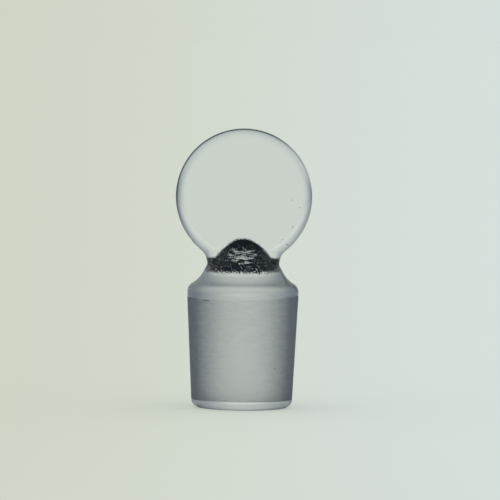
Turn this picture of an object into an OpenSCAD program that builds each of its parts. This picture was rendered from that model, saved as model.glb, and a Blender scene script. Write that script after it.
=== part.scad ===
// Ground-glass stopper with a flat disc head, pressed from clear glass in one piece.
// The plug is a standard 1:10 taper with a ground wall. Above it the glass rounds over
// a shoulder, flares in to the neck and runs up into the disc as a round hump on each face.
// Z is the axis of the taper, X runs across the disc and Y through its thickness.
// The origin is the centre of the flat foot.

/* [Ground plug] */
// Diameter at the large end of the ground taper
taper_d = 16; // [12:0.5:20]
// Length of the ground taper
taper_len = 14.7; // [10:0.1:20]
// Length over which the diameter of the taper falls by 1
taper_ratio = 10; // [8:1:20]
// Height of the clear foot below the ground taper
foot_h = 1.25; // [1.2:0.05:3]
// Rounding of the foot's edge
foot_r = 1.2; // [0.6:0.1:2]

/* [Shoulder and neck] */
// Height of the straight clear band above the ground taper
band_h = 0.75; // [0.2:0.05:2]
// Rounding of the shoulder's edge
shoulder_r = 1.4; // [1:0.1:2.4]
// Radius of the hollow flare between shoulder and neck
flare_r = 4; // [3:0.1:5]
// Diameter that the hollow flare would narrow to
flare_d = 10.56; // [9:0.02:11]
// Angle from the axis at which the flare turns over into the neck
neck_angle = 25.5; // [20:0.5:32]
// Radius of the neck's crown, which makes the hump on each face of the disc
crown_r = 14.5; // [12:0.1:24]

/* [Disc head] */
// Diameter of the disc
head_d = 19.6; // [16:0.1:24]
// Thickness of the disc
head_t = 4.6; // [4:0.1:6]
// Rounding of the rim of the disc and the waist
rim_r = 1.4; // [1:0.1:1.8]
// Height of the disc's centre above the foot
head_z = 30.4; // [28:0.1:36]

/* [Waist] */
// Narrowest width below the disc
waist_w = 10.3; // [10:0.1:10.6]
// Height of the narrowest place above the foot
waist_z = 20.4; // [20.3:0.05:20.8]
// Radius of the hollow curve on each side of the waist
waist_r = 4; // [3.6:0.1:4.4]

/* [Hidden] */
$fn = 96;
glass = [0.83, 0.87, 0.86, 0.45];

// Taper
taper_r = taper_d / 2;
side_angle = atan(1 / (2 * taper_ratio));
taper_top = foot_h + taper_len;
foot_side_r = taper_r - taper_top * tan(side_angle);
foot_c = [foot_side_r + foot_r * tan(side_angle) - foot_r / cos(side_angle), foot_r];
foot_end = foot_c + foot_r * [cos(side_angle), -sin(side_angle)];

// Shoulder arc, then the hollow flare that touches it
shoulder_c = [taper_r - shoulder_r, taper_top + band_h];
flare_cr = flare_d / 2 + flare_r;
flare_rise = sqrt(pow(shoulder_r + flare_r, 2) - pow(flare_cr - shoulder_c.x, 2));
flare_c = [flare_cr, shoulder_c.y + flare_rise];
shoulder_end = shoulder_c + (flare_c - shoulder_c) * shoulder_r / (shoulder_r + flare_r);

// Crown of the neck, which leaves the flare smoothly and ends inside the disc
crown_start = flare_c - flare_r * [cos(neck_angle), sin(neck_angle)];
crown_c = crown_start - crown_r * [cos(neck_angle), sin(neck_angle)];
crown_end_r = head_t / 3;
crown_top = crown_c.y + sqrt(pow(crown_r, 2) - pow(crown_end_r - crown_c.x, 2));

// Disc
head_r = head_d / 2;
edge_half = head_t / 2 - rim_r;

// Centre of the waist's hollow curve
waist_c = [waist_w / 2 + waist_r, waist_z];
// How far the waist runs down into the neck and up into the disc, in shares of its radius
waist_reach = [0.25, 0.8];
// The waist lies a little below the faces of the disc
waist_t = head_t - 0.1;

// Half section of the plug, shoulder and neck, from the axis outwards
module plug_section() {
    difference() {
        union() {
            polygon([
                [0, 0], [foot_c.x, 0], foot_c, foot_end,
                [taper_r, taper_top], [taper_r, shoulder_c.y], shoulder_c,
                shoulder_end, crown_start, [0, crown_start.y]
            ]);
            translate(foot_c) circle(foot_r);
            translate(shoulder_c) circle(shoulder_r);
            intersection() {
                translate(crown_c) circle(crown_r);
                translate([0, crown_start.y]) square([crown_start.x, crown_top - crown_start.y]);
            }
        }
        translate(flare_c) circle(flare_r);
    }
}

// Edge of the disc as a half section: a slab of the given reach with a rounded rim
module rim_section(reach) {
    translate([0, -edge_half]) square([reach, 2 * edge_half]);
    translate([0, -head_t / 2]) square([reach - rim_r, head_t]);
    for (side = [-1, 1])
        translate([reach - rim_r, side * edge_half]) circle(rim_r);
}

module disc() {
    translate([0, 0, head_z]) rotate([90, 0, 0]) rotate_extrude() rim_section(head_r);
}

// Spool that shapes one side of the waist: it hollows the outline and rounds both edges
module spool() {
    rotate([90, 0, 0]) rotate_extrude() difference() {
        translate([0, -head_t / 2]) square([waist_r + 0.9 * rim_r, head_t]);
        translate([waist_r, -edge_half]) square([rim_r, 2 * edge_half]);
        for (side = [-1, 1])
            translate([waist_r + rim_r, side * edge_half]) circle(rim_r);
    }
}

// Flat waist that carries the disc down into the neck
module waist() {
    difference() {
        translate([-waist_c.x, -waist_t / 2, waist_z - waist_r * waist_reach.x])
            cube([2 * waist_c.x, waist_t, waist_r * (waist_reach.x + waist_reach.y)]);
        for (side = [-1, 1])
            translate([side * waist_c.x, 0, waist_z]) spool();
    }
}

module stopper() {
    color(glass) union() {
        rotate_extrude() plug_section();
        disc();
        waist();
    }
}

stopper();
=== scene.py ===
# %% [markdown]
# # A ground-glass stopper
# The object is one piece of pressed glass: a flat thumb disc on a waisted neck, and below it a
# frosted plug that seals a flask. Clear glass has hardly any colour of its own. Its outline bends
# the light and the light draws most of the picture; the dark rim, the blue-grey edges of plug and
# neck and the near-black crown are painted shade in the glass colour. So this lesson is mostly
# about exact form, about the finishes of one skin of glass, and about what stands round the glass.

# %% Load the imported frame
import math

import bmesh
import bpy
import numpy as np
from mathutils import Matrix, Vector


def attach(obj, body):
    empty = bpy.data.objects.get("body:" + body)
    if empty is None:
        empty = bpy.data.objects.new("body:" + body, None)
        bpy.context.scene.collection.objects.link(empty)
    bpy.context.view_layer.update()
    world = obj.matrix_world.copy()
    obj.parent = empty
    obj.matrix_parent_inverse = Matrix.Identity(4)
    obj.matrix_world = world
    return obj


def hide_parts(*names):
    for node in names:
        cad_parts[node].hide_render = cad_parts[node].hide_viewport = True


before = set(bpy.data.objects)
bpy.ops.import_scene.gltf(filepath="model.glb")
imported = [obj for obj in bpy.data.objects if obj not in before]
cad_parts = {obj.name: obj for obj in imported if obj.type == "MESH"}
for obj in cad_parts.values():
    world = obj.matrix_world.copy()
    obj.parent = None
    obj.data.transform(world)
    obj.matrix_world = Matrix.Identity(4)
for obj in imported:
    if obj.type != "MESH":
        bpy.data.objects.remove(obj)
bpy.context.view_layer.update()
scene = bpy.context.scene

# %% [markdown]
# ## Sizes
# The lengths are in millimetres while the glass is shaped, because a stopper is small and round
# numbers are easier to follow. The finished skin is scaled to metres at the end. Two arcs decide
# the neck: the hollow flare touches the shoulder, and the crown leaves the flare smoothly. Their
# centres follow from that, so they are worked out here and not typed in.

# %% Sizes of the stopper
MM = 0.001
PLUG = {"top_r": 8.0, "foot_z": 1.25, "ground_top_z": 15.95, "slope": 1 / 20, "foot_round": 1.2}
SHOULDER = {"r": 6.6, "z": 16.7, "round": 1.4}
FLARE = {"r": 9.28, "round": 4.0}
CROWN = {"angle": math.radians(25.5), "round": 14.5, "end_r": 1.5}
DISC = {"r": 9.8, "half_t": 2.3, "z": 30.4, "rim": 1.4}
WAIST = {"half_w": 5.15, "z": 20.4, "round": 4.0, "down": 1.0, "up": 3.2}
FILLET = {"disc_to_waist": 0.4, "head_to_neck": 0.12}

rise = math.sqrt((SHOULDER["round"] + FLARE["round"]) ** 2 - (FLARE["r"] - SHOULDER["r"]) ** 2)
FLARE["z"] = SHOULDER["z"] + rise
touch_z = SHOULDER["z"] + rise * SHOULDER["round"] / (SHOULDER["round"] + FLARE["round"])
lean = np.array([math.cos(CROWN["angle"]), math.sin(CROWN["angle"])])
crown_start = np.array([FLARE["r"], FLARE["z"]]) - FLARE["round"] * lean
CROWN["r"], CROWN["z"] = crown_start - CROWN["round"] * lean
crown_top = CROWN["z"] + math.sqrt(CROWN["round"] ** 2 - (CROWN["end_r"] - CROWN["r"]) ** 2)
print("neck turns over at", crown_start.round(2), "and its crown ends at", round(crown_top, 2))

# %% [markdown]
# ## The mould
# A pressed piece takes the shape of its mould, so the mould is written as a rule: for any point
# it gives the distance to the glass, negative inside. Subdivision could round the edges too, but
# a rule states each radius exactly, and it also gives true normals, which glass needs far more
# than an opaque thing does. Two small rules come first: one rounds the edge between two walls,
# and one welds two bodies with a fillet.

# %% Rules for edges and welds
def rounded_edge(a, b, radius):
    """Inside both walls a and b, with the edge between them rounded."""
    u, v = np.maximum(a + radius, 0), np.maximum(b + radius, 0)
    return np.minimum(np.maximum(a, b) + radius, 0) + np.hypot(u, v) - radius


def welded(a, b, fillet):
    """Inside a or b, with a small fillet where they meet."""
    near = np.clip(1 - np.abs(a - b) / fillet, 0, None)
    return np.minimum(a, b) - near * near * fillet / 4


corner = rounded_edge(np.zeros(1), np.zeros(1), 1)[0]
print("a corner rounded by 1 mm loses", round(float(corner), 3), "mm")

# %% [markdown]
# ## Plug, shoulder and neck
# Everything up to the disc is round, so one radius for each height says it all: the ground taper
# falls by 1 in 10, the shoulder rounds over, the flare is hollow, and the crown rises into the
# disc, where it shows as a hump on each face.

# %% Turned body
def turned_radius(z):
    """Radius of the plug, shoulder, flare and crown at height z."""
    ground = PLUG["top_r"] - np.maximum(PLUG["ground_top_z"] - z, 0) * PLUG["slope"]
    up = np.clip(z - SHOULDER["z"], 0, SHOULDER["round"])
    shoulder = SHOULDER["r"] + np.sqrt(SHOULDER["round"] ** 2 - up ** 2)
    down = np.clip(FLARE["z"] - z, 0, FLARE["round"])
    flare = FLARE["r"] - np.sqrt(FLARE["round"] ** 2 - down ** 2)
    over = np.clip(z, None, crown_top) - CROWN["z"]
    crown = CROWN["r"] + np.sqrt(CROWN["round"] ** 2 - over ** 2)
    return np.select(
        [z < SHOULDER["z"], z < touch_z, z < crown_start[1]], [ground, shoulder, flare], crown)


def turned_body(x, y, z, step=0.01):
    slope = (turned_radius(z + step) - turned_radius(z - step)) / (2 * step)
    wall = (np.hypot(x, y) - turned_radius(z)) / np.sqrt(1 + slope ** 2)
    return np.maximum(rounded_edge(wall, -z, PLUG["foot_round"]), z - crown_top)


print("radius at the foot, ground top and waist:",
      turned_radius(np.array([PLUG["foot_z"], PLUG["ground_top_z"], WAIST["z"]])).round(2))

# %% [markdown]
# ## Head
# The head is a flat plate: a disc that runs down into a waist, with the same rounding all along
# its edge. It is easiest to draw its outline first, as seen from the front, and then to round
# the edge between that outline and the two flat faces.

# %% Head
def head_outline(x, z):
    """The head seen from the front."""
    circle = np.hypot(x, z - DISC["z"]) - DISC["r"]
    centre = WAIST["half_w"] + WAIST["round"]
    hollow = WAIST["round"] - np.hypot(np.abs(x) - centre, z - WAIST["z"])
    side = np.maximum(hollow, np.abs(x) - centre)
    ends = np.maximum(z - WAIST["z"] - WAIST["up"], WAIST["z"] - WAIST["down"] - z)
    return welded(circle, np.maximum(side, ends), FILLET["disc_to_waist"])


def head(x, y, z):
    return rounded_edge(head_outline(x, z), np.abs(y) - DISC["half_t"], DISC["rim"])


print("head is", 2 * DISC["half_t"], "mm thick and", 2 * DISC["r"], "mm wide")

# %% [markdown]
# ## The whole mould
# Head and turned body meet in a sharp little fillet, as they do where the parts of a mould come
# together. The normal is the direction in which the distance grows fastest, found by stepping a
# few micrometres to each side.

# %% Mould and its normals
def mould(p):
    x, y, z = p[:, 0], p[:, 1], p[:, 2]
    return welded(head(x, y, z), turned_body(x, y, z), FILLET["head_to_neck"])


def mould_normal(p, step=0.004):
    """Direction in which the distance grows, and how fast."""
    g = np.stack([mould(p + step * a) - mould(p - step * a) for a in np.eye(3)], 1) / (2 * step)
    size = np.linalg.norm(g, axis=1)
    return g / size[:, None], size


print("the centre of the foot lies on the mould:", round(float(mould(np.zeros((1, 3)))[0]), 3))

# %% [markdown]
# ## The gob
# A rough blank comes first. The plug and neck are turned on a lathe with a spin, the disc is
# turned about its own axis, and a squashed turned piece stands for the waist.

# %% The lathe
UP, THROUGH = Vector((0, 0, 1)), Vector((0, 1, 0))
LATHE_STEPS = 96


def lathe(profile, axis, centre):
    """Spin a half section, given as (radius, height) pairs, about an axis through centre."""
    bm = bmesh.new()
    verts = [bm.verts.new(centre + Vector((1, 0, 0)) * r + axis * h) for r, h in profile]
    edges = [bm.edges.new(ends) for ends in zip(verts, verts[1:])]
    bmesh.ops.spin(bm, geom=verts + edges, cent=centre, axis=axis, dvec=(0, 0, 0),
                   angle=math.tau, steps=LATHE_STEPS, use_merge=True, use_duplicate=False)
    bmesh.ops.remove_doubles(bm, verts=bm.verts, dist=1e-4)
    bmesh.ops.recalc_face_normals(bm, faces=bm.faces)
    return bm


def to_mesh(bm, name):
    mesh = bpy.data.meshes.new(name)
    bm.to_mesh(mesh)
    bm.free()
    return mesh


print("lathe turns in", LATHE_STEPS, "steps")

# %% Turn the blanks
FOOT_BLANK = [(0, 0), (5.9, 0), (6.8, 0.4)]
WAIST_BLANK = [(0, -1), (5.3, -1), (WAIST["half_w"], 0), (5.7, 2), (0, 2)]
RIM_ANGLES = np.radians([-60, -30, -1, 1, 30, 60])

heights = np.array([PLUG["foot_round"], PLUG["ground_top_z"],
                    *np.linspace(SHOULDER["z"], crown_top, 24)])
plug_profile = [*FOOT_BLANK, *zip(turned_radius(heights), heights), (0, crown_top)]
rim, half_t, flat_r = DISC["rim"], DISC["half_t"], DISC["r"] - DISC["rim"]
rim_arc = [(flat_r + rim * math.cos(a), math.copysign(half_t - rim, a) + rim * math.sin(a))
           for a in RIM_ANGLES]
disc_profile = [(0, -half_t), (flat_r, -half_t), *rim_arc, (flat_r, half_t), (0, half_t)]
waist_profile = [(r, WAIST["z"] + h) for r, h in WAIST_BLANK]

blank = bmesh.new()
for profile, axis, centre, squash in [
        (plug_profile, UP, Vector((0, 0, 0)), 1),
        (disc_profile, THROUGH, Vector((0, 0, DISC["z"])), 1),
        (waist_profile, UP, Vector((0, 0, 0)), half_t / WAIST["half_w"])]:
    turned = lathe(profile, axis, centre)
    bmesh.ops.scale(turned, vec=(1, squash, 1), verts=turned.verts)
    blank.from_mesh(to_mesh(turned, "turned"))
print("blanks:", len(blank.faces), "faces")

# %% [markdown]
# ## One skin
# The three blanks still lie inside one another. A boolean union could join them, but it leaves
# long thin faces along the seams. A voxel remesh fuses them into one closed skin with even
# faces, as hot glass runs together.

# %% Fuse the blanks
VOXEL = 0.2
gob = bpy.data.objects.new("gob", to_mesh(blank, "gob"))
scene.collection.objects.link(gob)
fuse = gob.modifiers.new("fuse", "REMESH")
fuse.mode = "VOXEL"
fuse.voxel_size = VOXEL
skin = bpy.data.meshes.new_from_object(gob.evaluated_get(bpy.context.evaluated_depsgraph_get()))
bpy.data.objects.remove(gob)
print("fused skin:", len(skin.vertices), "vertices,", len(skin.polygons), "faces")

# %% [markdown]
# ## Pressing
# Each vertex of the skin is moved along the mould's normal until it lies on the mould. A few
# rounds are enough. The moves are kept short, so that no vertex jumps past a fillet.

# %% Press the skin onto the mould
PRESS_ROUNDS, LONGEST_MOVE, LEAST_GROWTH = 8, 0.15, 0.3
points = np.empty(len(skin.vertices) * 3)
skin.vertices.foreach_get("co", points)
points = points.reshape(-1, 3)
for _ in range(PRESS_ROUNDS):
    normal, size = mould_normal(points)
    move = mould(points) / np.maximum(size, LEAST_GROWTH)
    points -= normal * np.clip(move, -LONGEST_MOVE, LONGEST_MOVE)[:, None]
normal, _ = mould_normal(points)
print("left over after pressing, mm:", round(float(np.abs(mould(points)).max()), 4))

# %% [markdown]
# ## The finished piece
# The skin is scaled to metres and takes the place of the plain solid. The mould's own normals
# are stored on the mesh, so that the flat disc is optically flat and the round parts have no
# facets.

# %% The finished piece
skin.vertices.foreach_set("co", (points * MM).ravel())
skin.name = "stopper_glass"
skin.polygons.foreach_set("use_smooth", [True] * len(skin.polygons))
skin.normals_split_custom_set_from_vertices(normal.tolist())
stopper = bpy.data.objects.new("stopper_glass", skin)
scene.collection.objects.link(stopper)
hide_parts("stopper")
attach(stopper, "root")
print("stopper:", len(skin.vertices), "vertices")

# %% [markdown]
# ## Helpers for node trees
# The finishes below are small networks of nodes. A handful of helpers keep them readable: each
# adds one node or a few, and returns the socket that carries the result.

# %% Helpers that add and link nodes
def nodes_of(owner):
    """An empty node tree for a material or a world."""
    owner.use_nodes = True
    owner.node_tree.nodes.clear()
    return owner.node_tree


def add(tree, kind, inputs=None, **settings):
    node = tree.nodes.new(kind)
    for key, value in settings.items():
        setattr(node, key, value)
    for key, value in (inputs or {}).items():
        node.inputs[key].default_value = value
    return node


def link(tree, source, node, socket):
    tree.links.new(source, node.inputs[socket])


def split(tree, source):
    """The X, Y and Z of a vector."""
    node = add(tree, "ShaderNodeSeparateXYZ")
    link(tree, source, node, 0)
    return node.outputs


print("glass will be made of", bpy.types.ShaderNodeBsdfPrincipled.bl_rna.name)

# %% [markdown]
# ## Sums for masks
# A mask is a number from 0 to 1 that says how much of a finish a place has. Masks are worked out
# with Math nodes, so these helpers write sums and products in a row.

# %% Helpers for sums
def chain(tree, source, *steps):
    """Send a value through a row of Math nodes, each given as (operation, number)."""
    for operation, number in steps:
        node = add(tree, "ShaderNodeMath", {1: number}, operation=operation)
        link(tree, source, node, 0)
        source = node.outputs[0]
    return source


def pair(tree, operation, one, other):
    """One Math node with two linked values."""
    node = add(tree, "ShaderNodeMath", operation=operation)
    link(tree, one, node, 0)
    link(tree, other, node, 1)
    return node.outputs[0]


def product(tree, first, *others):
    for other in others:
        first = pair(tree, "MULTIPLY", first, other)
    return first


def total(tree, first, *others):
    for other in others:
        first = pair(tree, "ADD", first, other)
    return first


def times(tree, source, factor):
    return chain(tree, source, ("MULTIPLY", factor))


def rest_of(tree, share):
    """What a share leaves of 1."""
    return chain(tree, share, ("MULTIPLY", -1), ("ADD", 1))


print("sums:", [helper.__name__ for helper in (chain, pair, product, total, times, rest_of)])

# %% [markdown]
# ## Borders for masks
# Most finishes end at a height or at a distance from a centre. A Map Range node with a smooth
# step makes each border soft. A border that starts above its end counts downwards.

# %% Helpers for borders
def soft_step(tree, source, start, end):
    """0 before start, 1 after end, with a smooth change between."""
    node = add(tree, "ShaderNodeMapRange", {"From Min": start, "From Max": end},
               interpolation_type="SMOOTHSTEP")
    link(tree, source, node, "Value")
    return node.outputs[0]


def border(tree, source, start_end):
    """A soft step whose start and end are lengths in mm."""
    return soft_step(tree, source, *(length * MM for length in start_end))


def distance(tree, one, other):
    """Distance from a centre, from two pairs of a coordinate and the centre's value in mm."""
    squares = [chain(tree, value, ("SUBTRACT", middle * MM), ("POWER", 2))
               for value, middle in (one, other)]
    return chain(tree, total(tree, *squares), ("SQRT", 0))


def oval(tree, x, z, place):
    """0 in the middle of an oval on the front, 1 on its edge, sizes in mm."""
    squares = [chain(tree, value, ("SUBTRACT", middle * MM), ("DIVIDE", half * MM), ("POWER", 2))
               for value, middle, half in ((x, place["x"], place["half_w"]),
                                           (z, place["z"], place["half_h"]))]
    return total(tree, *squares)


print("borders:", [helper.__name__ for helper in (soft_step, border, distance, oval)])

# %% [markdown]
# ## Colours and noise
# Two helpers mix colours, by a share or along a ramp. One makes noise whose grains have a size
# in millimetres, stretched where scratches or wrinkles run one way.

# %% Helpers for colours and noise
def blend(tree, share, one, other):
    """Mix two colours, each a socket or a plain colour."""
    node = add(tree, "ShaderNodeMix", data_type="RGBA")
    link(tree, share, node, 0)
    for place, colour in ((6, one), (7, other)):
        if isinstance(colour, tuple):
            node.inputs[place].default_value = (*colour, 1)
        else:
            link(tree, colour, node, place)
    return node.outputs[2]


def ramp(tree, source, stops):
    """Colours along a value from 0 to 1, given as (value, colour) stops."""
    node = add(tree, "ShaderNodeValToRGB")
    points = node.color_ramp.elements
    while len(points) < len(stops):
        points.new(0.5)
    for point, (position, colour) in zip(points, stops):
        point.position, point.color = position, (*colour, 1)
    link(tree, source, node, 0)
    return node.outputs[0]


def noise(tree, source, size, detail, stretch=(1, 1, 1), shift=(0, 0, 0)):
    """Noise from -0.5 to 0.5, with grains of the given size in mm."""
    squeeze = add(tree, "ShaderNodeMapping", {"Scale": stretch, "Location": shift})
    link(tree, source, squeeze, "Vector")
    cloud = add(tree, "ShaderNodeTexNoise", {"Scale": 1 / (size * MM), "Detail": detail})
    link(tree, squeeze.outputs[0], cloud, "Vector")
    return chain(tree, cloud.outputs[0], ("SUBTRACT", 0.5))


print("colours:", [helper.__name__ for helper in (blend, ramp, noise)])

# %% [markdown]
# ## One glass, several finishes
# The whole stopper is one material: clear pressed glass with an index of 1.5. The finish changes
# over its surface. The plug is ground, the crown of the neck is rough where the hot glass was
# chilled, the shoulder is satin, and the rest is clear. Masks on object coordinates say where
# each finish is and where shade is painted into the colour. The ground wall comes first. Fine
# noise makes its borders ragged, and the upper one rises a little at one side, as grinding leaves
# them.

# %% Mask of the ground wall
GROUND = {"lower": (1.18, 1.32), "upper": (16.0, 15.9), "ragged": 0.3}
UNEVEN = {"side": (3, 8), "rise": 0.3}
GRAIN = 0.2

glass = bpy.data.materials.new("pressed_glass")
t = nodes_of(glass)
shader = add(t, "ShaderNodeBsdfPrincipled", {"IOR": 1.5, "Transmission Weight": 1, "Metallic": 0})
link(t, shader.outputs["BSDF"], add(t, "ShaderNodeOutputMaterial"), "Surface")

spot = add(t, "ShaderNodeTexCoord").outputs["Object"]
x, y, z = split(t, spot)
grain = noise(t, spot, GRAIN, 1)
z_ground = total(t, z, times(t, grain, GROUND["ragged"] * MM))
raised = times(t, border(t, x, UNEVEN["side"]), UNEVEN["rise"] * MM)
z_upper = pair(t, "SUBTRACT", z_ground, raised)
ground = product(t, border(t, z_ground, GROUND["lower"]), border(t, z_upper, GROUND["upper"]))
print("ground wall:", len(t.nodes), "nodes")

# %% [markdown]
# ## Where the crown is chilled and painted dark
# Below the head the chilled skin goes all the way round. Further up it covers only the hump, so
# the mask asks how far a point lies outside the crown's arc. It reaches a hair past the weld
# with the disc, in loose grains. The same mask places the crown's rough skin and its painted
# shade.

# %% Mask of the chilled crown and its painted shade
CHILLED_AND_SHADED = {"lower": (19.60, 19.70), "ragged": 1.6, "all_round": (21.7, 21.5)}
REACH = {"from_z": 22.6, "slope": 0.13, "least": 0.01, "most": 0.13, "ragged": 0.8}
REACH_BORDER = (0.02, -0.01)

z_crown = total(t, z, times(t, grain, CHILLED_AND_SHADED["ragged"] * MM))
from_axis = distance(t, (x, 0), (y, 0))
from_centre = distance(t, (from_axis, CROWN["r"]), (z, CROWN["z"]))
off_crown = chain(t, from_centre, ("SUBTRACT", CROWN["round"] * MM))
even = chain(t, z, ("SUBTRACT", REACH["from_z"] * MM), ("MULTIPLY", REACH["slope"]),
             ("MAXIMUM", REACH["least"] * MM), ("MINIMUM", REACH["most"] * MM))
loose = chain(t, grain, ("MAXIMUM", 0), ("MULTIPLY", REACH["ragged"] * MM))
past_weld = pair(t, "SUBTRACT", off_crown, total(t, even, loose))
on_hump = border(t, past_weld, REACH_BORDER)
all_round = border(t, z_ground, CHILLED_AND_SHADED["all_round"])
# This mask places both the rough chilled skin and the crown's painted shade.
crown = product(t, border(t, z_crown, CHILLED_AND_SHADED["lower"]), pair(t, "MAXIMUM", all_round, on_hump))
print("with the crown:", len(t.nodes), "nodes")

# %% [markdown]
# ## Rim of the disc: painted shade
# Clear glass is nearly colourless seen straight on. At a rounded edge the light has a long way
# through the glass and most of it is thrown aside, so the edge reads as a dark line. That line is
# painted shade: the colour darkens by the angle that Layer Weight gives. The flat of the disc is
# left out, so that it stays clear from the side. The painted line is fainter low down and towards
# +X.

# %% Rim of the disc, painted shade
HEAD = (0.935, 0.94, 0.935)
# Colours of the rim's painted shade, from face-on to grazing.
RIM_SHADE_RAMP = [(0, HEAD), (0.02, (0.88, 0.90, 0.91)), (0.125, (0.79, 0.82, 0.84)),
       (0.28, (0.61, 0.655, 0.69)), (0.42, (0.38, 0.42, 0.47)),
       (0.5, (0.06, 0.075, 0.1)), (0.56, (0.0003, 0.0005, 0.001))]
HEAD_FROM, RIM_FROM = (20, 21), (8.3, 8.6)
RIM_SHADE_LOW = {"z": (23, 31), "share": 0.45}
RIM_SHADE_PLUS_X = {"x": (4, 9.5), "loss": 0.4}

facing = add(t, "ShaderNodeLayerWeight", {"Blend": 0.5}).outputs["Facing"]
from_middle = distance(t, (x, 0), (z, DISC["z"]))
in_head = border(t, z, HEAD_FROM)
# The painted rim shade is weaker low down and towards +X.
rim_shade_low_factor = chain(t, border(t, z, RIM_SHADE_LOW["z"]), ("MULTIPLY", 1 - RIM_SHADE_LOW["share"]),
            ("ADD", RIM_SHADE_LOW["share"]))
rim_shade_x_factor = chain(t, border(t, x, RIM_SHADE_PLUS_X["x"]), ("MULTIPLY", -RIM_SHADE_PLUS_X["loss"]), ("ADD", 1))
rim_shade_share = product(t, border(t, from_middle, RIM_FROM), in_head, rim_shade_low_factor, rim_shade_x_factor)
# Painted shade along the rim, by the facing angle.
rim_painted_shade = ramp(t, facing, RIM_SHADE_RAMP)
print("with the rim:", len(t.nodes), "nodes")

# %% [markdown]
# ## Shoulder and neck: painted shade
# The glass between the ground wall and the crown is clear but not polished. Its colour darkens to
# blue-grey as it turns away, most of all in the straight band, which is also greyer all over, and
# a thin dark line follows the outline. These tones are painted shade. The line is wider towards
# +X, where the surroundings are darkest.

# %% Shoulder and neck, painted shade
# The band tone, the blue-grey edge colour and the dark outline colour are painted shade.
CLEAR, BAND_SHADE = (0.985, 0.99, 0.985), (0.83, 0.835, 0.835)
SHOULDER_SHADE, OUTLINE_SHADE = (0.29, 0.33, 0.41), (0.02, 0.025, 0.035)
BAND_Z = {"lower": (15.9, 16.1), "upper": (17.5, 16.9), "darker": 0.1}
EDGE_SHADE_AT = {"turn": (0.1, 0.62), "above_foot": (1.0, 1.4)}
LINE_SHADE_AT = {"turn": (0.74, 0.86), "above": (16.6, 17), "side": (2, 6), "wider": 0.12}

in_neck = rest_of(t, in_head)
band = product(t, border(t, z, BAND_Z["lower"]), border(t, z, BAND_Z["upper"]))
turned_away = total(t, facing, times(t, band, BAND_Z["darker"]))
# Painted shade where the glass turns away, strongest in the band.
edge = product(t, soft_step(t, turned_away, *EDGE_SHADE_AT["turn"]), in_neck,
               border(t, z, EDGE_SHADE_AT["above_foot"]))
body = blend(t, edge, blend(t, band, CLEAR, BAND_SHADE), SHOULDER_SHADE)
# Painted dark line along the outline, wider towards +X.
wider = total(t, facing, times(t, border(t, x, LINE_SHADE_AT["side"]), LINE_SHADE_AT["wider"]))
outline_shade = product(t, soft_step(t, wider, *LINE_SHADE_AT["turn"]), border(t, z, LINE_SHADE_AT["above"]))
body = blend(t, in_head, blend(t, outline_shade, body, OUTLINE_SHADE), HEAD)
# The rim's painted shade joins the clear glass here.
clear = blend(t, rim_shade_share, body, rim_painted_shade)
print("clear glass:", len(t.nodes), "nodes so far")

# %% [markdown]
# ## Ground glass
# Grinding leaves a matt wall that scatters the light. Its colour is pale where it faces the eye
# and turns blue-grey towards the edges, where each pit shades the next; that blue-grey is painted
# shade. Fine rings run round it, because the plug was turned against the grit, and it is a little
# darker towards the top.

# %% Ground glass, with painted shade towards the edges
# The edge colour is painted shade for the turned-away wall.
FROST, FROST_EDGE_SHADE = (0.82, 0.815, 0.82), (0.17, 0.195, 0.26)
FROST_SHADE_TURN = (-0.03, 0.6)
MOTTLE = {"size": 0.7, "detail": 3, "stretch": (0.6, 0.6, 1.6), "share": 0.35}
RINGS = {"size": 0.3, "detail": 2, "stretch": (0.12, 0.12, 2.0), "share": 0.3}
DARKER_UP = {"middle_z": 8.6, "per_mm": 0.012}

mottle = noise(t, spot, MOTTLE["size"], MOTTLE["detail"], MOTTLE["stretch"])
rings = noise(t, spot, RINGS["size"], RINGS["detail"], RINGS["stretch"])
darker_up = chain(t, z, ("SUBTRACT", DARKER_UP["middle_z"] * MM),
                  ("MULTIPLY", DARKER_UP["per_mm"] / MM))
# Painted shade by the facing angle, with mottle, rings and a darkening towards the top.
frost_shade_and_mottle = total(t, soft_step(t, facing, *FROST_SHADE_TURN), times(t, mottle, MOTTLE["share"]),
                    darker_up, times(t, rings, RINGS["share"]))
frost_with_shade = blend(t, frost_shade_and_mottle, FROST, FROST_EDGE_SHADE)
print("ground glass:", len(t.nodes), "nodes so far")

# %% [markdown]
# ## The chilled crown and its painted shade
# The crown looks almost black from outside, because its slope sends every ray down into the
# plug. That black is painted shade: a near-black colour with lighter flecks. Its skin is rough
# with fine grains, and in the middle of each face the painted shade is left out in horizontal
# streaks along the wrinkles, where light comes through clear glass. The streaks follow one flank
# of each wrinkle, so the same noise is read again a little lower, and they thin out away from
# the middle.

# %% Chilled crown and its painted shade
# The near-black colour and the flecks are painted shade; the streaks stay clear glass.
CROWN_PAINTED_SHADE, CROWN_SHADE_FLECK, STREAK = (0.000005, 0.0001, 0.0006), (0.7, 0.78, 0.82), (1, 1, 1)
FLECK = {"grain": (0.18, 0.21), "skirt": (21.9, 20.3), "more": 0.03}
WRINKLE = {"size": 0.26, "stretch": (0.2, 0.2, 2.2), "flank": -0.08}
WINDOW = {"x": -0.15, "z": 22.12, "half_w": 1.6, "half_h": 1.05}
OPEN = {"grain": 0.45, "thinner": -0.09, "edge": (1.9, 1.3), "streak": (-0.02, 0.01)}

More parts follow.
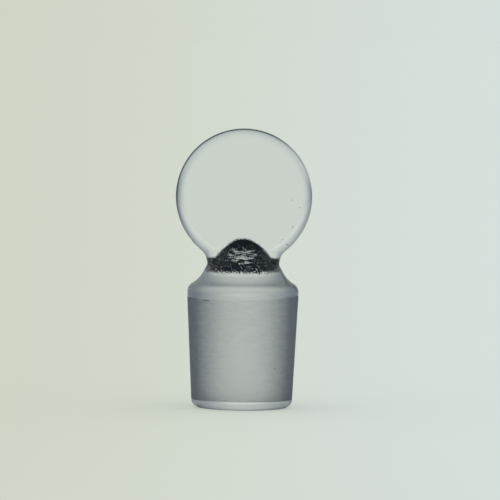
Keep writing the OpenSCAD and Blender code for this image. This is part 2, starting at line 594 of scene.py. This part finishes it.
skirt = border(t, z, FLECK["skirt"])
flecks = soft_step(t, total(t, grain, times(t, skirt, FLECK["more"])), *FLECK["grain"])
wrinkles = noise(t, spot, WRINKLE["size"], 1, WRINKLE["stretch"])
flanks = noise(t, spot, WRINKLE["size"], 1, WRINKLE["stretch"], (0, 0, WRINKLE["flank"] * MM))
off_window = oval(t, x, z, WINDOW)
broken = total(t, flanks, times(t, grain, OPEN["grain"]), times(t, off_window, OPEN["thinner"]))
window = product(t, soft_step(t, off_window, *OPEN["edge"]), soft_step(t, broken, *OPEN["streak"]))
# Painted shade on the crown, left out in the streaks.
crown_painted_shade = blend(t, window, blend(t, flecks, CROWN_PAINTED_SHADE, CROWN_SHADE_FLECK), STREAK)
print("crown:", len(t.nodes), "nodes so far")

# %% [markdown]
# ## Wear, and the colours put together
# A used stopper has a few specks and one small nick at the upper border of the ground wall. They
# are dark dots in the colour, and the middle of the disc stays free of them. The painted shade of
# the crown goes only on its outside: light that comes from within leaves freely, so Backfacing
# takes the painted shade away there. Then the finishes and the painted shade are mixed by their
# masks.

# %% Put the colours together
WORN = (0.12, 0.13, 0.14)
NICK = {"x": -5.2, "z": 15.7, "half_w": 0.5, "half_h": 0.09}
NICK_EDGE, FRONT = (1.2, 0.6), (-3, -4)
SPECKS = {"scale": 380, "edge": (0.045, 0.03), "from_middle": (5.5, 7)}

cells = add(t, "ShaderNodeTexVoronoi", {"Scale": SPECKS["scale"]})
link(t, spot, cells, "Vector")
off_middle = pair(t, "MAXIMUM", in_neck, border(t, from_middle, SPECKS["from_middle"]))
specks = product(t, soft_step(t, cells.outputs["Distance"], *SPECKS["edge"]), off_middle)
nick = product(t, soft_step(t, oval(t, x, z, NICK), *NICK_EDGE), border(t, y, FRONT))

from_within = add(t, "ShaderNodeNewGeometry").outputs["Backfacing"]
# Painted shade of the crown, only on its outside.
crown_shade_share = product(t, crown, rest_of(t, from_within))
tone = blend(t, crown_shade_share, blend(t, ground, clear, frost_with_shade), crown_painted_shade)
link(t, blend(t, pair(t, "MAXIMUM", specks, nick), tone, WORN), shader, "Base Color")
print("colour:", len(t.nodes), "nodes so far")

# %% [markdown]
# ## Roughness and relief
# The ground wall is matt and the crown nearly smooth between its grains. Shoulder and neck have
# a satin skin. Grains, wrinkles and rings are far too fine for the mesh, so they go into one
# Bump node.

# %% Roughness and relief
ROUGH = {"ground": 0.65, "crown": 0.1, "satin": 0.22}
SATIN = {"lower": (15.6, 16.2), "upper": (19.8, 19.4)}
RELIEF = {"depth": 0.2, "grain": 0.4, "rings": 0.3}

satin = product(t, border(t, z, SATIN["lower"]), border(t, z, SATIN["upper"]))
rough = total(t, times(t, ground, ROUGH["ground"]), times(t, crown, ROUGH["crown"]))
link(t, pair(t, "MAXIMUM", rough, times(t, satin, ROUGH["satin"])), shader, "Roughness")

on_crown = product(t, total(t, times(t, grain, RELIEF["grain"]), wrinkles), crown)
on_wall = product(t, times(t, rings, RELIEF["rings"]), ground)
bump = add(t, "ShaderNodeBump", {"Strength": 1, "Distance": RELIEF["depth"] * MM})
link(t, total(t, on_crown, on_wall), bump, "Height")
link(t, bump.outputs[0], shader, "Normal")
skin.materials.clear()
skin.materials.append(glass)
print("glass material:", len(t.nodes), "nodes")

# %% [markdown]
# ## Camera
# The stopper is seen almost level with the table from a fair distance, so that it hardly
# tapers. The lens follows from the height of the frame at the object.

# %% Camera
IMAGE_PIXELS, MM_PER_PIXEL = 500, 0.1439
DISTANCE, FRAME_HEIGHT, SENSOR = 0.7, IMAGE_PIXELS * MM_PER_PIXEL * MM, 36
AIM = Vector((0.95, 0, 22.7)) * MM
ELEVATION, ROLL = math.radians(2.6), math.radians(0.69)

camera = bpy.data.objects.new("camera", bpy.data.cameras.new("camera"))
scene.collection.objects.link(camera)
scene.camera = camera
camera.data.sensor_width = SENSOR
camera.data.lens = SENSOR * DISTANCE / FRAME_HEIGHT
camera.data.clip_start, camera.data.clip_end = 0.01, 50
back = Vector((0, -math.cos(ELEVATION), math.sin(ELEVATION)))
camera.location = AIM + back * DISTANCE
turn = (-back).to_track_quat("-Z", "Y").to_matrix().to_4x4() @ Matrix.Rotation(ROLL, 4, "Z")
camera.rotation_euler = turn.to_euler()
print("lens in mm:", round(camera.data.lens, 1))

# %% [markdown]
# ## What the glass sees
# Glass is lit through its surroundings. Photographers call this bright field: pale paper behind
# and in front, and darker towards the sides, so that every slope that throws the light sideways
# draws a dark edge. The curve below gives the brightness over the angle from the front-to-back
# axis. It rises again straight to the left and right, so that the stopper is bright from there
# too. It is used for the far floor and for the sky alike.

# %% Bright field
PALE, DIM = (0.686, 0.736, 0.681), (0.015, 0.019, 0.027)
FIELD = [(-90, 1.0), (-79, 0.8), (-68, 0.42), (-50, 0.58), (-36, 0.58), (-24, 0.62),
         (-14, 0.85), (-6, 1.0), (4, 1.0), (10, 0.93), (18, 0.7), (28, 0.5),
         (50, 0.34), (68, 0.2), (79, 0.8), (90, 1.0)]
FIELD_TINT = (-0.1, -0.02, 0.2)


def bright_field(tree, x, y):
    """Tone seen in the direction x, y: pale along the axis, darker and bluer to the sides."""
    angle = chain(tree, pair(tree, "DIVIDE", x, y), ("ARCTANGENT", 0))
    stops = [(degrees / 180 + 0.5, [p * share * (1 + (1 - share) * tint) + d * (1 - share)
                                    for p, d, tint in zip(PALE, DIM, FIELD_TINT)])
             for degrees, share in FIELD]
    return ramp(tree, chain(tree, angle, ("DIVIDE", math.pi), ("ADD", 0.5)), stops)


darkest = min(FIELD, key=lambda stop: stop[1])
print("darkest at", darkest[0], "degrees, with", darkest[1], "of the full brightness")

# %% [markdown]
# ## Floor for the glass
# The floor is matt pale paper. The glass sees it pale in a wide ring around the stopper, so that
# views from above are bright as well, and in the bright field beyond that.

# %% Floor as the glass sees it
FLOOR_SIZE = 20
RING_FROM, RING_TO = (0.010, 0.028), (0.30, 0.08)

bm = bmesh.new()
bmesh.ops.create_grid(bm, x_segments=1, y_segments=1, size=FLOOR_SIZE)
floor = bpy.data.objects.new("floor", to_mesh(bm, "floor"))
scene.collection.objects.link(floor)
paper = bpy.data.materials.new("pale_paper")
t = nodes_of(paper)
spot = add(t, "ShaderNodeTexCoord").outputs["Object"]
x, y, z = split(t, spot)
length = add(t, "ShaderNodeVectorMath", operation="LENGTH")
link(t, spot, length, 0)
away = length.outputs["Value"]
ring = product(t, soft_step(t, away, *RING_FROM), soft_step(t, away, *RING_TO))
for_glass = blend(t, ring, bright_field(t, x, y), PALE)
print("floor is", 2 * FLOOR_SIZE, "m wide")

# %% [markdown]
# ## Floor for the camera
# The camera sees the paper plain, a little warmer on the left than on the right. This tint fans
# out with the distance from the stopper, so that it meets the tint of the sky at the horizon.
# Real glass lets most light through to the paper beside it, so its shadow is faint: half of what
# the camera sees is the paper's own tone, a trifle lifted to match the sky, and half is lit.

# %% Floor as the camera sees it
PALE_LEFT, PALE_RIGHT = (0.630, 0.665, 0.560), (0.675, 0.740, 0.710)
TINT, TINT_FAN = (-0.06, 0.06), 0.7
SHADOW_FREE, LIFT = 0.5, 1.09

aside = pair(t, "DIVIDE", x, chain(t, away, ("ADD", TINT_FAN)))
for_camera = blend(t, soft_step(t, aside, *TINT), PALE_LEFT, PALE_RIGHT)
by_camera = add(t, "ShaderNodeLightPath").outputs["Is Camera Ray"]
matt = add(t, "ShaderNodeBsdfDiffuse")
link(t, blend(t, by_camera, for_glass, for_camera), matt, 0)
own_tone = add(t, "ShaderNodeEmission", {"Strength": LIFT})
link(t, for_camera, own_tone, 0)
surface = add(t, "ShaderNodeMixShader")
link(t, times(t, by_camera, SHADOW_FREE), surface, 0)
link(t, matt.outputs[0], surface, 1)
link(t, own_tone.outputs[0], surface, 2)
link(t, surface.outputs[0], add(t, "ShaderNodeOutputMaterial"), "Surface")
floor.data.materials.append(paper)
print("floor material:", len(t.nodes), "nodes")

# %% [markdown]
# ## Light
# An even white dome lights the floor, so its colour renders as it is written. The camera sees
# the same pale tones above the horizon as below it. Rays that come through the glass see the
# bright field, which dims a little just above the horizon and fades out overhead.

# %% Light
OVERHEAD, ABOVE_HORIZON, DIMMER = (0.6, 0.97), (0.02, 0.15), 0.1

world = bpy.data.worlds.new("studio")
scene.world = world
t = nodes_of(world)
seen_by = add(t, "ShaderNodeLightPath")
x, y, z = split(t, add(t, "ShaderNodeTexCoord").outputs["Generated"])
fade = total(t, soft_step(t, z, *OVERHEAD), times(t, soft_step(t, z, *ABOVE_HORIZON), DIMMER))
for_glass = blend(t, fade, bright_field(t, x, y), DIM)
for_camera = blend(t, soft_step(t, x, *TINT), PALE_LEFT, PALE_RIGHT)
seen = blend(t, seen_by.outputs["Is Camera Ray"], for_glass, for_camera)
sky = add(t, "ShaderNodeBackground", {"Strength": 1})
link(t, blend(t, seen_by.outputs["Is Diffuse Ray"], seen, (1, 1, 1)), sky, 0)
link(t, sky.outputs[0], add(t, "ShaderNodeOutputWorld"), "Surface")
scene.view_settings.view_transform = "Standard"
print("world:", len(t.nodes), "nodes")
